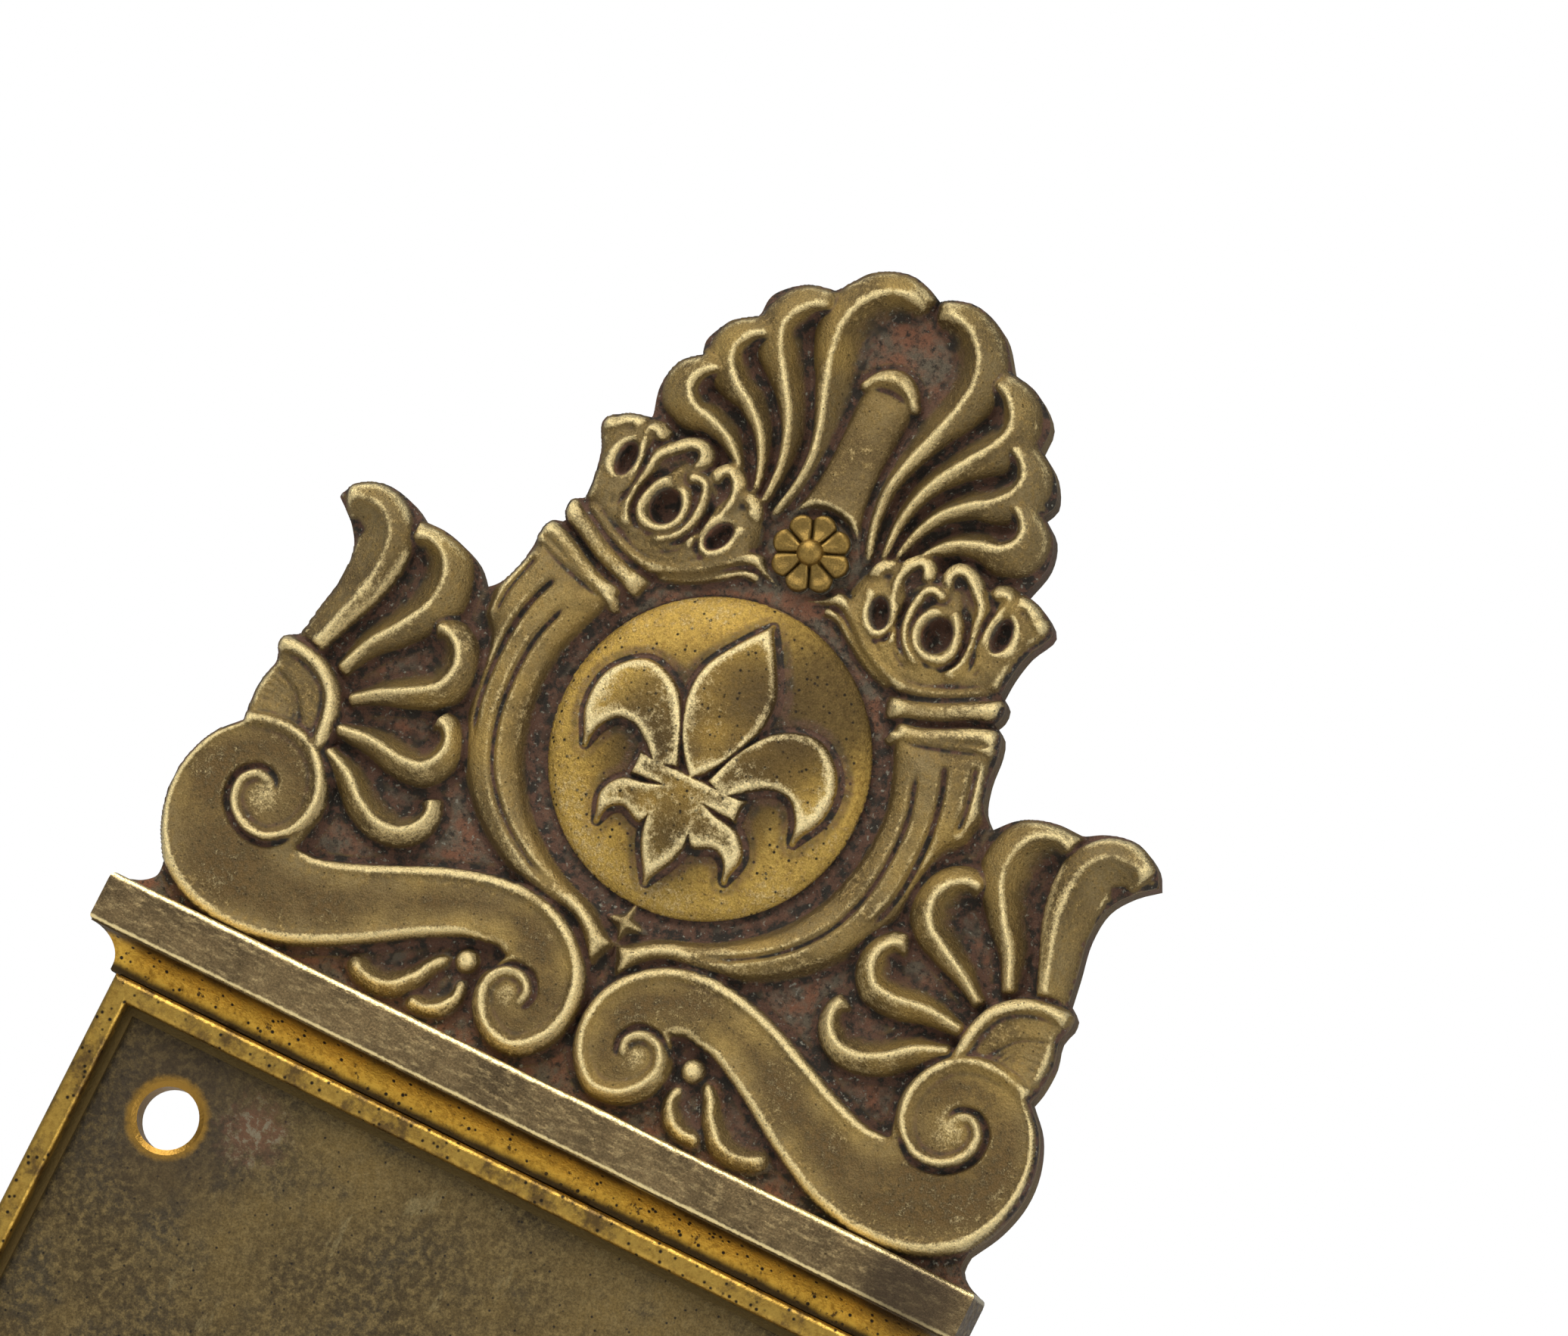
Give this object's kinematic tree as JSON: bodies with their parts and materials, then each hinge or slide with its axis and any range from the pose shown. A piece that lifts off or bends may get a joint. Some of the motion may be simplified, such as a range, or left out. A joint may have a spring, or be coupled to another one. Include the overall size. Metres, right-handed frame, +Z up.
{
  "type": "vertical letter plate",
  "caption": "Vertical cast brass letter plate: framed panel with a side-hung sprung flap, an ornamental leaf-and-scroll crest with a domed roundel, and a small cast foot.",
  "frame": {"origin": "centre of the four fixing holes, on the plate's flat back that lies on the door", "axes": "+Z up the door, +X to the right seen from outside, +Y into the door, so the ornamented front faces -Y"},
  "size_m": [0.087, 0.0105, 0.3292],
  "materials": {
    "plate_brass": "aged brass, dark olive-brown patina with worn edges",
    "crest_brass": "cast brass, dirt in the hollows and pale gold worn ridges",
    "bright_brass": "turned brass, dull",
    "pin_steel": "drawn steel, dull",
    "spring_wire": "oiled spring wire",
    "pad_leather": "worn leather"
  },
  "bodies": {
    "plate": {"front_plate": "plate_brass", "crest_header": "crest_brass", "foot_casting": "crest_brass", "roundel": "crest_brass", "roundel_washer": "bright_brass", "roundel_nut": "bright_brass", "rosette_stud": "crest_brass", "rosette_nut": "bright_brass", "pendant_stud": "crest_brass", "pendant_nut": "bright_brass", "header_screws": "bright_brass", "foot_screws": "bright_brass", "header_dowels": "bright_brass", "foot_dowels": "bright_brass", "hinge_pin": "pin_steel", "pin_nut": "bright_brass", "pin_washer": "bright_brass", "thrust_washers": "bright_brass", "closing_spring": "spring_wire"},
    "flap": {"flap": "plate_brass", "flap_buffers": "pad_leather", "spring_catch": "bright_brass"}
  },
  "joints": [
    {"name": "flap_hinge", "type": "hinge", "parent": "plate", "child": "flap", "pos_m": [-0.0198, 0, 0], "axis": [0, 0, -1], "range_deg": [0, 95], "stiffness_Nm_per_rad": 0.03, "springref_deg": -40.11, "deforming": ["closing_spring"]}
  ]
}
